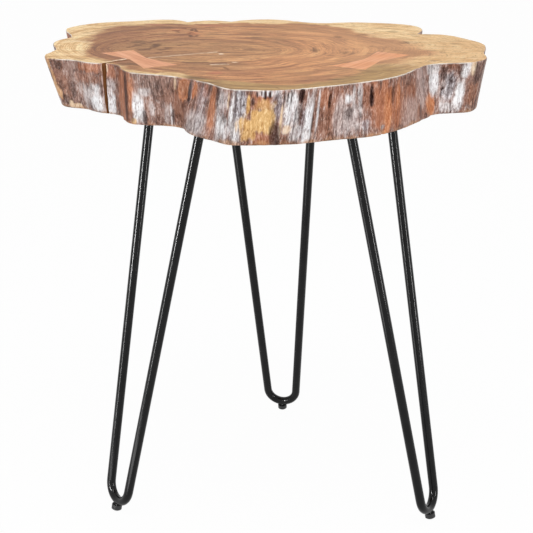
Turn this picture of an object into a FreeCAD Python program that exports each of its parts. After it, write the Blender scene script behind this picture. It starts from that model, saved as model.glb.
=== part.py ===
"""Accent table: a live-edge slab of trunk on three hairpin legs.

Millimetres, +Z up. The origin is on the floor, under the middle of the slab's outline.
The front of the table faces -Y.
"""
import FreeCAD, Part
import math
import os
import Sketcher

Vector = FreeCAD.Vector
Placement = FreeCAD.Placement
Rotation = FreeCAD.Rotation

LEGS = ("front_left", "back", "front_right")

# A sketch's own numbers for a curve's points, and for its origin and upright axis
START, END, CENTRE = range(1, 4)
ORIGIN, UPRIGHT_AXIS = range(-1, -3, -1)

# Driving dimensions in millimetres, and angles in degrees
SIZES = (
    ("table_height", 558),
    ("slab_width", 497),
    ("slab_depth", 462),
    ("slab_thickness", 54),
    ("check_mouth", 5),
    ("check_tip", 1),
    # Bow-tie keys, let into the top
    ("key_length", 105),
    ("key_end", 39),
    ("key_waist", 19),
    ("key_depth", 16),
    ("inlay_gap", 0.1),
    ("left_key_turn", -58),
    ("right_key_turn", 58),
    # Hairpins: bearing and reach place a foot about the legs' centre, heading turns its lean
    ("leg_centre_x", 5),
    ("leg_centre_y", 22),
    ("leg_lean", 11.6),
    ("rod_diameter", 11),
    ("rod_spread", 110),
    ("bend_radius", 20.5),
    ("front_left_bearing", 203.1),
    ("front_left_heading", 217.3),
    ("front_left_reach", 205.7),
    ("back_bearing", 84.5),
    ("back_heading", 78),
    ("back_reach", 197),
    ("front_right_bearing", 334.1),
    ("front_right_heading", 330.5),
    ("front_right_reach", 218.5),
    ("weld_leg", 3),
    # Mounting plates and their wood screws
    ("plate_length", 160),
    ("plate_width", 42),
    ("plate_thickness", 4),
    ("plate_corner", 6),
    ("plate_hole", 5),
    ("plate_hole_inset", 8),
    ("screw_diameter", 4.5),
    ("screw_length", 26),
    ("screw_tip", 6),
    ("screw_head_diameter", 9),
    ("screw_head_height", 3),
    ("recess_length", 5),
    ("recess_width", 1.2),
    ("recess_depth", 1.5),
    # Screw-in feet
    ("pad_diameter", 12.5),
    ("pad_height", 8),
    ("pad_dome", 9),
    ("sole_wear", 0.4),
    ("seat_gap", 0.3),
    ("stud_diameter", 5),
    ("stud_length", 13),
    ("stud_seat", 4),
    ("fit_gap", 0.05),
    # How far a cutting shape runs past the face that it cuts
    ("overrun", 2),
)

# Middles of the bow-tie keys in shares of the slab's width and depth
KEY_SHARES = {"left": (-0.278, -0.145), "right": (0.221, -0.147)}

# Natural edge of the slab, lobe by lobe from the drying check, counter-clockwise from above.
# A point is its place in shares of the slab's width and depth, and how far the wall
# draws in below it in shares of the slab's thickness. Lobes meet at notches.
RIM_SHARES = (
    # Front left lip
    ((-0.340, -0.202, 0.02), (-0.305, -0.257, 0.04), (-0.288, -0.302, 0.02), (-0.242, -0.330, 0.14)),
    # Front lobe
    ((-0.174, -0.370, 0.12), (-0.140, -0.401, -0.12), (-0.100, -0.450, -0.10), (-0.078, -0.485, -0.02),
     (-0.041, -0.498, 0.03), (0.013, -0.500, 0.09), (0.057, -0.483, 0.03), (0.131, -0.441, -0.01),
     (0.202, -0.393, -0.13), (0.251, -0.346, -0.11), (0.295, -0.274, -0.12)),
    # Right lobe
    ((0.328, -0.211, -0.14), (0.370, -0.180, -0.06), (0.434, -0.164, 0.00), (0.468, -0.125, 0.12),
     (0.480, -0.041, 0.16), (0.497, 0.049, 0.14), (0.500, 0.095, 0.10), (0.479, 0.155, 0.10),
     (0.448, 0.220, 0.10)),
    # Back right lobe
    ((0.363, 0.250, 0.05), (0.383, 0.316, 0.10), (0.378, 0.384, 0.12), (0.351, 0.420, 0.12),
     (0.294, 0.446, 0.10), (0.216, 0.456, 0.10)),
    # Back lobe
    ((0.156, 0.440, 0.06), (0.097, 0.451, 0.08), (0.030, 0.500, 0.12), (-0.057, 0.490, 0.10)),
    # Back knuckle
    ((-0.096, 0.456, 0.05), (-0.156, 0.476, 0.10)),
    # Back left lobe
    ((-0.208, 0.443, 0.05), (-0.257, 0.487, 0.12), (-0.354, 0.454, 0.12), (-0.429, 0.422, 0.15),
     (-0.478, 0.366, 0.18), (-0.500, 0.311, 0.20), (-0.491, 0.254, 0.20)),
    # Left lobe
    ((-0.469, 0.156, 0.10), (-0.492, 0.060, 0.22), (-0.476, -0.037, 0.22), (-0.485, -0.086, 0.29),
     (-0.472, -0.142, 0.30), (-0.420, -0.162, 0.22), (-0.373, -0.198, 0.12)),
)

doc = FreeCAD.newDocument("accent_table")
sheet = doc.addObject("Spreadsheet::Sheet", "sizes")
for row, (alias, number) in enumerate(SIZES, start=1):
    sheet.set(f"A{row}", alias)
    sheet.set(f"B{row}", str(number))
    sheet.setAlias(f"B{row}", alias)
doc.recompute()


def size(alias):
    """A driving dimension, read from the sheet."""
    return float(sheet.get(alias))


def made(kind, name, **expressions):
    """A new object whose properties are bound to expressions of the sheet's cells."""
    item = doc.addObject(kind, name)
    for prop, expression in expressions.items():
        item.setExpression(prop, expression)
    return item


def cut(name, base, tool):
    """The base with the tool's shape taken out of it."""
    item = doc.addObject("Part::Cut", name)
    item.Base = base
    item.Tool = tool
    return item


def fused(name, *pieces):
    """One solid of several that overlap."""
    item = doc.addObject("Part::MultiFuse", name)
    item.Shapes = list(pieces)
    return item


def grouped(name, shapes):
    """Separate solids that share one node."""
    item = doc.addObject("Part::Feature", name)
    item.Shape = Part.makeCompound(shapes)
    return item


def dimension(sketch, constraint, expression):
    """Adds a sketch dimension and binds it to the sheet."""
    index = sketch.addConstraint(constraint)
    sketch.setExpression(f"Constraints[{index}]", expression)


slab_under = size("table_height") - size("slab_thickness")
plate_under = slab_under - size("plate_thickness")


# Slab

def rim_wire(lobes):
    """Closed wire of one curve per lobe, from its first notch to the next lobe's."""
    edges = []
    for lobe, following in zip(lobes, lobes[1:] + lobes[:1]):
        curve = Part.BSplineCurve()
        curve.interpolate(lobe + following[:1])
        edges.append(curve.toShape())
    return Part.Wire(edges)


def rim_lobes():
    """Points of the top and bottom rims, with the top rim filling the slab's width and depth."""
    unit = [[Vector(x, y, 0) for x, y, _ in lobe] for lobe in RIM_SHARES]
    box = rim_wire(unit).optimalBoundingBox()
    across = size("slab_width") / box.XLength
    along = size("slab_depth") / box.YLength
    top_lobes = []
    bottom_lobes = []
    for lobe in RIM_SHARES:
        top = []
        bottom = []
        for x, y, undercut_share in lobe:
            point = Vector((x - box.Center.x) * across, (y - box.Center.y) * along, 0)
            drawn_in = 1 - undercut_share * size("slab_thickness") / point.Length
            top.append(point + Vector(0, 0, size("table_height")))
            bottom.append(point * drawn_in + Vector(0, 0, slab_under))
        top_lobes.append(top)
        bottom_lobes.append(bottom)
    return top_lobes, bottom_lobes


def slab_blank(top_lobes, bottom_lobes):
    """The slab before it is cut: a loft from its bottom rim to its top rim."""
    sections = []
    for name, lobes in (("bottom_rim", bottom_lobes), ("top_rim", top_lobes)):
        rim = doc.addObject("Part::Feature", name)
        rim.Shape = rim_wire(lobes)
        sections.append(rim)
    blank = doc.addObject("Part::Loft", "slab_blank")
    blank.Sections = sections
    blank.Solid = True
    blank.Ruled = True
    return blank


def key_middle(side, height):
    """Point on a key's upright axis."""
    across_share, along_share = KEY_SHARES[side]
    return Vector(across_share * size("slab_width"), along_share * size("slab_depth"), height)


def drying_check(mouth):
    """Wedge of the open crack, from the left key's middle out past the rim."""
    middle = key_middle("left", slab_under - size("overrun"))
    outward = Vector(mouth.x - middle.x, mouth.y - middle.y, 0)
    wedge = made("Part::Wedge", "drying_check",
                 Xmin="-sizes.check_tip / 2", Xmax="sizes.check_tip / 2",
                 X2min="-sizes.check_mouth / 2", X2max="sizes.check_mouth / 2",
                 Zmax="sizes.slab_thickness + 2 * sizes.overrun",
                 Z2max="sizes.slab_thickness + 2 * sizes.overrun")
    wedge.Ymin = 0
    wedge.Ymax = outward.Length + size("overrun")
    wedge.Zmin = 0
    wedge.Z2min = 0
    wedge.Placement = Placement(middle, Rotation(Vector(0, 1, 0), outward))
    return wedge


def bowtie(name, side, gap, rise):
    """Bow-tie prism at one key's place, widened by a gap all round and raised past the top."""
    bottom = size("table_height") - size("key_depth")
    place = Placement(key_middle(side, bottom), Rotation(size(f"{side}_key_turn"), 0, 0))
    halves = []
    for half, turn in (("near", 90), ("far", -90)):
        wedge = made("Part::Wedge", f"{name}_{half}_half",
                     Xmin=f"-sizes.key_waist / 2 - {gap}", Xmax=f"sizes.key_waist / 2 + {gap}",
                     X2min=f"-sizes.key_end / 2 - {gap}", X2max=f"sizes.key_end / 2 + {gap}",
                     Ymax=f"sizes.key_length / 2 + {gap}",
                     Zmax=f"sizes.key_depth + {rise}", Z2max=f"sizes.key_depth + {rise}")
        wedge.Ymin = 0
        wedge.Zmin = 0
        wedge.Z2min = 0
        wedge.Placement = place * Placement(Vector(0, 0, 0), Rotation(turn, 0, 0))
        halves.append(wedge)
    return fused(name, *halves)


def live_edge_top():
    """Slab with its check, its two key pockets and the pilot holes of all the plate screws."""
    top_lobes, bottom_lobes = rim_lobes()
    blank = slab_blank(top_lobes, bottom_lobes)
    pockets = [bowtie(f"{side}_pocket", side, "sizes.inlay_gap", "sizes.overrun") for side in KEY_SHARES]
    opened = cut("checked_slab", blank, fused("slab_cuts", drying_check(top_lobes[0][0]), *pockets))
    pilot = made("Part::Cylinder", "pilot_hole",
                 Radius="sizes.screw_diameter / 2 + sizes.fit_gap",
                 Height="sizes.screw_length + sizes.fit_gap")
    doc.recompute()
    holes = [pilot.Shape.transformed(place.toMatrix()) for leg in LEGS for place in screw_places(leg)]
    return cut("live_edge_top", opened, grouped("pilot_holes", holes))


def bowtie_key(side):
    """One bow-tie key, flush with the top."""
    return bowtie(f"{side}_bowtie_key", side, "0", "0")


# Legs

def leg_frame(leg):
    """Frame of a leg: origin on the floor, local Z up the lean, local X across the hairpin."""
    bearing = math.radians(size(f"{leg}_bearing"))
    foot = Vector(size("leg_centre_x") + size(f"{leg}_reach") * math.cos(bearing),
                  size("leg_centre_y") + size(f"{leg}_reach") * math.sin(bearing), 0)
    return Placement(foot, Rotation(size(f"{leg}_heading") + 90, 0, -size("leg_lean")))


def plate_frame(leg):
    """Frame of a plate: origin in the middle of its lower face, local X along it."""
    slant = plate_under / math.cos(math.radians(size("leg_lean")))
    middle = leg_frame(leg).multVec(Vector(0, 0, slant))
    return Placement(middle, Rotation(size(f"{leg}_heading") + 90, 0, 0))


def screw_places(leg):
    """Where a plate's four screws seat their heads."""
    across = size("plate_length") / 2 - size("plate_hole_inset")
    along = size("plate_width") / 2 - size("plate_hole_inset")
    return [plate_frame(leg) * Placement(Vector(x, y, 0), Rotation())
            for x in (-across, across) for y in (-along, along)]


def hairpin_spine(leg):
    """Centre line of a hairpin: two straight rods tangent to a round bend."""
    bend_height = "sizes.pad_height + sizes.seat_gap + sizes.rod_diameter / 2 + sizes.bend_radius"
    end_height = ("(sizes.table_height - sizes.slab_thickness - sizes.plate_thickness)"
                  " / cos(sizes.leg_lean) + sizes.rod_diameter")
    radius = size("bend_radius")
    low = size("pad_height") + size("seat_gap") + size("rod_diameter") / 2 + radius
    high = plate_under / math.cos(math.radians(size("leg_lean"))) + size("rod_diameter")
    apart = size("rod_spread") / 2
    spine = doc.addObject("Sketcher::SketchObject", f"{leg}_spine")
    spine.Placement = leg_frame(leg) * Placement(Vector(0, 0, 0), Rotation(0, 0, 90))
    left = spine.addGeometry(Part.LineSegment(Vector(-apart, high, 0), Vector(-radius, low, 0)))
    circle = Part.Circle(Vector(0, low, 0), Vector(0, 0, 1), radius)
    bend = spine.addGeometry(Part.ArcOfCircle(circle, math.pi, 2 * math.pi))
    right = spine.addGeometry(Part.LineSegment(Vector(radius, low, 0), Vector(apart, high, 0)))
    spine.addConstraint(Sketcher.Constraint("Tangent", left, END, bend, START))
    spine.addConstraint(Sketcher.Constraint("Tangent", bend, END, right, START))
    spine.addConstraint(Sketcher.Constraint("PointOnObject", bend, CENTRE, UPRIGHT_AXIS))
    spine.addConstraint(Sketcher.Constraint("Symmetric", left, START, right, END, UPRIGHT_AXIS))
    dimension(spine, Sketcher.Constraint("Radius", bend, radius), "sizes.bend_radius")
    dimension(spine, Sketcher.Constraint("DistanceY", ORIGIN, START, bend, CENTRE, low), bend_height)
    dimension(spine, Sketcher.Constraint("DistanceX", left, START, right, END, 2 * apart), "sizes.rod_spread")
    dimension(spine, Sketcher.Constraint("DistanceY", ORIGIN, START, left, START, high), end_height)
    doc.recompute()
    return spine


def above_plates():
    """Block over the plates' lower faces, which trims what runs up into it."""
    block = made("Part::Box", "above_plates", Length="sizes.slab_width", Width="sizes.slab_depth",
                 Height="sizes.slab_thickness + sizes.plate_thickness")
    block.Placement.Base = Vector(-size("slab_width") / 2, -size("slab_depth") / 2, plate_under)
    return block


def below_floor():
    """Block under the floor, which trims the feet flat."""
    block = made("Part::Box", "below_floor", Length="sizes.slab_width", Width="sizes.slab_depth",
                 Height="sizes.table_height")
    block.Placement.Base = Vector(-size("slab_width") / 2, -size("slab_depth") / 2, -size("table_height"))
    return block


def stud_hole(name, leg, start):
    """Hole for a foot's stud along the leg's axis, from a height on that axis upwards."""
    hole = made("Part::Cylinder", name, Radius="sizes.stud_diameter / 2 + sizes.fit_gap",
                Height="sizes.stud_length - sizes.stud_seat + sizes.seat_gap")
    hole.Placement = leg_frame(leg) * Placement(Vector(0, 0, start), Rotation())
    return hole


def hairpin(leg, spine, trim):
    """Rod swept along its spine, cut flat against the plate and drilled for the stud in its bend."""
    ring = made("Part::Circle", f"{leg}_section", Radius="sizes.rod_diameter / 2")
    start = spine.Shape.Edges[0]
    direction = start.tangentAt(start.FirstParameter)
    ring.Placement = Placement(start.valueAt(start.FirstParameter), Rotation(Vector(0, 0, 1), direction))
    rod = doc.addObject("Part::Sweep", f"{leg}_rod")
    rod.Sections = [ring]
    rod.Spine = (spine, ["Edge1", "Edge2", "Edge3"])
    rod.Solid = True
    hole = stud_hole(f"{leg}_bend_hole", leg, size("pad_height"))
    drilled = cut(f"{leg}_drilled_rod", rod, hole)
    return cut(f"{leg}_hairpin", drilled, trim)


def weld_beads(leg, spine, trim):
    """Fillet weld round each rod, under the plate."""
    plane = Part.Plane(Vector(0, 0, plate_under), Vector(0, 0, 1))
    beads = []
    for edge, side in ((spine.Shape.Edges[0], "left"), (spine.Shape.Edges[2], "right")):
        crossing = edge.Curve.intersect(plane)[0][0]
        point = Vector(crossing.X, crossing.Y, crossing.Z)
        down = edge.tangentAt(edge.FirstParameter)
        down = down if down.z < 0 else down.negative()
        start = point - down * (size("rod_diameter") / 2)
        place = Placement(start, Rotation(Vector(0, 0, 1), down))
        cone = made("Part::Cone", f"{leg}_{side}_bead_cone",
                    Radius1="sizes.rod_diameter + sizes.weld_leg", Radius2="sizes.rod_diameter / 2",
                    Height="sizes.rod_diameter / 2 + sizes.weld_leg")
        cone.Placement = place
        bore = made("Part::Cylinder", f"{leg}_{side}_bead_bore",
                    Radius="sizes.rod_diameter / 2 + sizes.fit_gap",
                    Height="sizes.rod_diameter + sizes.weld_leg")
        bore.Placement = place
        ring = cut(f"{leg}_{side}_bead_ring", cone, bore)
        beads.append(cut(f"{leg}_{side}_bead", ring, trim))
    pair = doc.addObject("Part::Compound", f"{leg}_weld_beads")
    pair.Links = beads
    return pair


# Plates and screws

def plate(leg):
    """Flat plate with rounded corners and four screw holes."""
    length = size("plate_length")
    width = size("plate_width")
    inset = size("plate_hole_inset")
    body = doc.addObject("PartDesign::Body", f"{leg}_plate")
    sketch = body.newObject("Sketcher::SketchObject", f"{leg}_plate_outline")
    origin_plane = [item for item in body.Origin.OriginFeatures if item.Role == "XY_Plane"][0]
    sketch.AttachmentSupport = [(origin_plane, "")]
    sketch.MapMode = "FlatFace"
    corners = [Vector(x * length / 2, y * width / 2, 0) for x, y in ((-1, -1), (1, -1), (1, 1), (-1, 1))]
    sides = [sketch.addGeometry(Part.LineSegment(corners[i], corners[i - 3])) for i in range(len(corners))]
    for side, following in zip(sides, sides[1:] + sides[:1]):
        sketch.addConstraint(Sketcher.Constraint("Coincident", side, END, following, START))
    for side, way in zip(sides, ("Horizontal", "Vertical", "Horizontal", "Vertical")):
        sketch.addConstraint(Sketcher.Constraint(way, side))
    sketch.addConstraint(Sketcher.Constraint("Symmetric", sides[0], START, sides[2], START, ORIGIN, START))
    dimension(sketch, Sketcher.Constraint("Distance", sides[0], length), "sizes.plate_length")
    dimension(sketch, Sketcher.Constraint("Distance", sides[1], width), "sizes.plate_width")
    for side, corner in zip(sides, corners):
        inward = Vector(math.copysign(inset, corner.x), math.copysign(inset, corner.y), 0)
        ring = Part.Circle(corner - inward, Vector(0, 0, 1), size("plate_hole") / 2)
        hole = sketch.addGeometry(ring)
        outwards = (hole, CENTRE, side, START)
        inwards = (side, START, hole, CENTRE)
        from_x = outwards if corner.x > 0 else inwards
        from_y = outwards if corner.y > 0 else inwards
        dimension(sketch, Sketcher.Constraint("DistanceX", *from_x, inset), "sizes.plate_hole_inset")
        dimension(sketch, Sketcher.Constraint("DistanceY", *from_y, inset), "sizes.plate_hole_inset")
        dimension(sketch, Sketcher.Constraint("Diameter", hole, size("plate_hole")), "sizes.plate_hole")
    pad = body.newObject("PartDesign::Pad", f"{leg}_plate_pad")
    pad.Profile = sketch
    pad.setExpression("Length", "sizes.plate_thickness")
    doc.recompute()
    rounded = body.newObject("PartDesign::Fillet", f"{leg}_plate_corners")
    rounded.Base = (pad, corner_edges(pad.Shape, length / 2))
    rounded.setExpression("Radius", "sizes.plate_corner")
    body.Placement = plate_frame(leg)
    return body


def corner_edges(shape, reach):
    """Names of the upright edges at the two ends of a plate."""
    names = []
    for index, edge in enumerate(shape.Edges, start=1):
        first, last = edge.Vertexes[0].Point, edge.Vertexes[-1].Point
        upright = first.x == last.x and first.y == last.y and first.z != last.z
        if upright and math.isclose(abs(first.x), reach):
            names.append(f"Edge{index}")
    return names


def screw():
    """Round-headed wood screw with a cross recess, its head's seat at the origin, pointing up."""
    head = made("Part::Cylinder", "screw_head", Radius="sizes.screw_head_diameter / 2",
                Height="sizes.screw_head_height")
    head.Placement.Base = Vector(0, 0, -size("screw_head_height"))
    shank = made("Part::Cylinder", "screw_shank", Radius="sizes.screw_diameter / 2",
                 Height="sizes.screw_length - sizes.screw_tip")
    tip = made("Part::Cone", "screw_point", Radius1="sizes.screw_diameter / 2",
               Radius2="0", Height="sizes.screw_tip")
    tip.Placement.Base = Vector(0, 0, size("screw_length") - size("screw_tip"))
    slots = []
    for turn in (0, 90):
        slot = made("Part::Box", f"screw_slot_{turn}", Length="sizes.recess_length",
                    Width="sizes.recess_width", Height="sizes.recess_depth + sizes.overrun")
        centred = Vector(-size("recess_length") / 2, -size("recess_width") / 2, 0)
        bottom = Vector(0, 0, -size("screw_head_height") - size("overrun"))
        spin = Rotation(turn, 0, 0)
        slot.Placement = Placement(bottom + spin.multVec(centred), spin)
        slots.append(slot)
    whole = cut("plate_screw", fused("screw_blank", head, shank, tip), fused("screw_recess", *slots))
    doc.recompute()
    return whole.Shape


def plate_screws(leg, screw_shape):
    """The four screws of one plate."""
    placed = [screw_shape.transformed(place.toMatrix()) for place in screw_places(leg)]
    return grouped(f"{leg}_plate_screws", placed)


# Feet

def glide_pad(leg, floor):
    """Barrel with a domed sole, leaning with its leg and worn flat on the floor."""
    frame = leg_frame(leg)
    barrel = made("Part::Cylinder", f"{leg}_barrel", Radius="sizes.pad_diameter / 2",
                  Height="sizes.pad_height + sizes.pad_dome")
    barrel.Placement = frame * Placement(Vector(0, 0, -size("pad_dome")), Rotation())
    dome = made("Part::Sphere", f"{leg}_dome", Radius="sizes.pad_dome")
    dome_height = (size("pad_dome") - size("sole_wear")) / math.cos(math.radians(size("leg_lean")))
    dome.Placement = frame * Placement(Vector(0, 0, dome_height), Rotation())
    button = doc.addObject("Part::Common", f"{leg}_button")
    button.Base = barrel
    button.Tool = dome
    socket = stud_hole(f"{leg}_pad_socket", leg, size("pad_height") - size("stud_seat"))
    return cut(f"{leg}_glide_pad", cut(f"{leg}_bored_button", button, socket), floor)


def glide_stud(leg):
    """Steel stud of a foot, seated in the pad and screwed into the bend."""
    stud = made("Part::Cylinder", f"{leg}_glide_stud", Radius="sizes.stud_diameter / 2",
                Height="sizes.stud_length")
    start = size("pad_height") - size("stud_seat")
    stud.Placement = leg_frame(leg) * Placement(Vector(0, 0, start), Rotation())
    return stud


def table():
    """Every node of the table."""
    trim = above_plates()
    floor = below_floor()
    screw_shape = screw()
    nodes = [live_edge_top()]
    nodes += [bowtie_key(side) for side in KEY_SHARES]
    for leg in LEGS:
        spine = hairpin_spine(leg)
        nodes.append(hairpin(leg, spine, trim))
        nodes.append(weld_beads(leg, spine, trim))
        nodes.append(plate(leg))
        nodes.append(plate_screws(leg, screw_shape))
        nodes.append(glide_pad(leg, floor))
        nodes.append(glide_stud(leg))
    return nodes


nodes = table()
doc.recompute()
for item in doc.Objects:
    if {"Invalid", "Error"} & set(item.State):
        raise RuntimeError(f"{item.Name} failed: {item.State}")
for node in nodes:
    if node.Shape.isNull() or not node.Shape.isValid():
        raise RuntimeError(f"{node.Label} has no valid shape")

os.makedirs("parts", exist_ok=True)
for node in nodes:
    node.Shape.exportStep(f"parts/{node.Label}.step")
    print(node.Label, len(node.Shape.Solids), round(node.Shape.Volume))
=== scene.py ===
"""Accent table: the looks of a live-edge slab with two bow-tie keys on three hairpin legs."""
import math
import bpy
import numpy as np
from mathutils import Matrix, Vector, noise
from mathutils.bvhtree import BVHTree


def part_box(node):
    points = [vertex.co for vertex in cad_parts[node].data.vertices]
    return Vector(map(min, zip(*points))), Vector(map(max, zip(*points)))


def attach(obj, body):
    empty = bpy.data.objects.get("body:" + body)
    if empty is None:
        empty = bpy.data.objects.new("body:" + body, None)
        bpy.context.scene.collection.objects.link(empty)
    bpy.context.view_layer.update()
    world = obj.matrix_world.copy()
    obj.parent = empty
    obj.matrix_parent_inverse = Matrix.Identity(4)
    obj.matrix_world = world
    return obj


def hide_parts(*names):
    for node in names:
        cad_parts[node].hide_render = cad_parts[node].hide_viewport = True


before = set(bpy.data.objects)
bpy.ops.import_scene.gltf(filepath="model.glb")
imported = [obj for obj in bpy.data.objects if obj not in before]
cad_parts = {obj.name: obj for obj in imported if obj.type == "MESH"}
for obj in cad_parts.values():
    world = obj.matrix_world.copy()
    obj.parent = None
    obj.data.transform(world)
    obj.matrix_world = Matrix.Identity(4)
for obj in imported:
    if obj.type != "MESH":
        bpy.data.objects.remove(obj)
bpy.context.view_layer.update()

MM = 0.001
FULL_TURN = 2 * math.pi

# The photograph's camera, in its own pixels
IMAGE_WIDTH_PX = 533
SENSOR_MM = 36.0
FOCAL_PX = 1160.7
CAMERA_PLACE = Vector((-0.0007, -1.3003, 0.7748))
CAMERA_PITCH = math.radians(20.084)
CAMERA_ROLL = math.radians(0.336)
CAMERA_TURN = Matrix.Rotation(math.pi / 2 - CAMERA_PITCH, 4, "X") @ Matrix.Rotation(CAMERA_ROLL, 4, "Z")

# The slab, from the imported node
SLAB_LOW, SLAB_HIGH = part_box("live_edge_top")
SLAB_THICKNESS = SLAB_HIGH.z - SLAB_LOW.z
SLAB_MIDDLE_PX = (266, 90)
INWARD_SHARE = 0.005
SKIN = 0.4 * MM
FACE_SLOT, EDGE_SLOT, UNDERSIDE_SLOT = range(3)
FLAT_TILT = 0.9
SHARP_TURN = math.radians(40)

# Growth of the log: its pith, and the two points that its long oval rings go round
PITH = Vector((-0.045, -0.003))
RING_MIDDLE = np.array((-0.081, -0.006))
RING_SPREAD = np.array((0.069, 0.0))
RING_EASE = math.radians(14)

# The slab's mesh: steps round the rim, rows up the edge, its rounded corners, loops across the face
REACH = 0.5
RIM_STEPS = 1800
BEARINGS = np.arange(RIM_STEPS) * FULL_TURN / RIM_STEPS
NORMAL_STEPS = 3
WALL_ROWS = 56
EASE_TOP = 1.1 * MM
EASE_BOTTOM = 2.2 * MM
EASE_ROWS = 4
FACE_INSETS = (1.5 * MM, 4 * MM, 8 * MM)
FACE_SHARES = (0.92, 0.84, 0.75, 0.65, 0.55, 0.45, 0.35, 0.25, 0.15)

# The drying check: where it opens on the rim, its width there and at its tip, and its mesh
CHECK_MOUTH = Vector((-0.1690, -0.0932))
CHECK_BRIDGE = 10 * MM
CHECK_WIDTH = 2.8 * MM
CHECK_TIP = 0.5 * MM
CHECK_STEPS = 24
CHECK_ROWS = 36
OVERCUT = 6 * MM
POCKET_GAP = 0.12 * MM
POCKET_WELD = POCKET_GAP / 4

# Noises in the shape of the edge: waves per metre, the share of them up its height, depth or share
SWELL = (24, 0.60, 1.0 * MM)
RIDGES = ((55, 0.05, 0.9 * MM), (150, 0.02, 0.45 * MM), (420, 0.02, 0.22 * MM))
RIDGE_LIFT_SHARE = 0.35
RIDGE_FALL_SHARE = 1.6
GROOVES = (150, 0.02, 2.2)
PATCH_RAGS = ((130, 0.12, 0.45), (45, 0.5, 0.3), (330, 0.35, 0.35))
FOOT_RAGS = (70, 0.2, 4 * MM)
FOOT_HEIGHTS = (5 * MM, 1 * MM)
CHECK_WANDER = (45, 0.6, 1.1 * MM)
CHECK_RAGS = (120, 0.7, 0.6)
CHECK_RAGS_SHIFT = 3.0

# Lean of the edge's fibres: pixel across and down, and the shift to the right for each pixel down
FIBRE_LEAN_PX = (
    (60, 80, 0.0), (160, 100, 0.0), (178, 100, -0.08), (192, 102, -0.24), (214, 110, -0.24),
    (234, 115, -0.12), (262, 118, 0.0), (285, 116, -0.11), (312, 115, -0.12), (345, 110, -0.06),
    (375, 105, -0.10), (400, 100, -0.20), (428, 92, 0.0), (455, 88, -0.24), (474, 84, -0.10),
)

# Hollows of the natural edge, below zero a ridge: left, top, right, bottom in pixels, depth in millimetres
WALL_HOLLOWS_PX = (
    (173.8, 78, 176, 126, -1.2), (171.5, 100, 173.8, 126, 1.5), (181, 78, 193, 104, 2.5),
    (190, 76, 193, 106, 2.5), (230, 91, 234, 138, -1.4), (279.5, 100, 282, 134, -1.2),
    (283, 92, 285, 120, 1.2), (286, 92, 290, 125, -1.0), (291, 92, 292.5, 136, 1.2),
    (293, 92, 297, 136, -1.0), (299.5, 88, 305, 106, 3.5), (306, 92, 312, 140, -1.6),
    (313, 92, 315, 138, 1.0), (317, 94, 319, 135, -0.8), (329.3, 94, 331.3, 108, 4.5),
    (370.7, 89, 373.7, 105, 5.0), (381.5, 125, 385.5, 135, 5.0), (441.5, 90, 444.5, 97, 2.5),
)
HOLLOW_SHARES = (1.4, 0.5)

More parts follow.
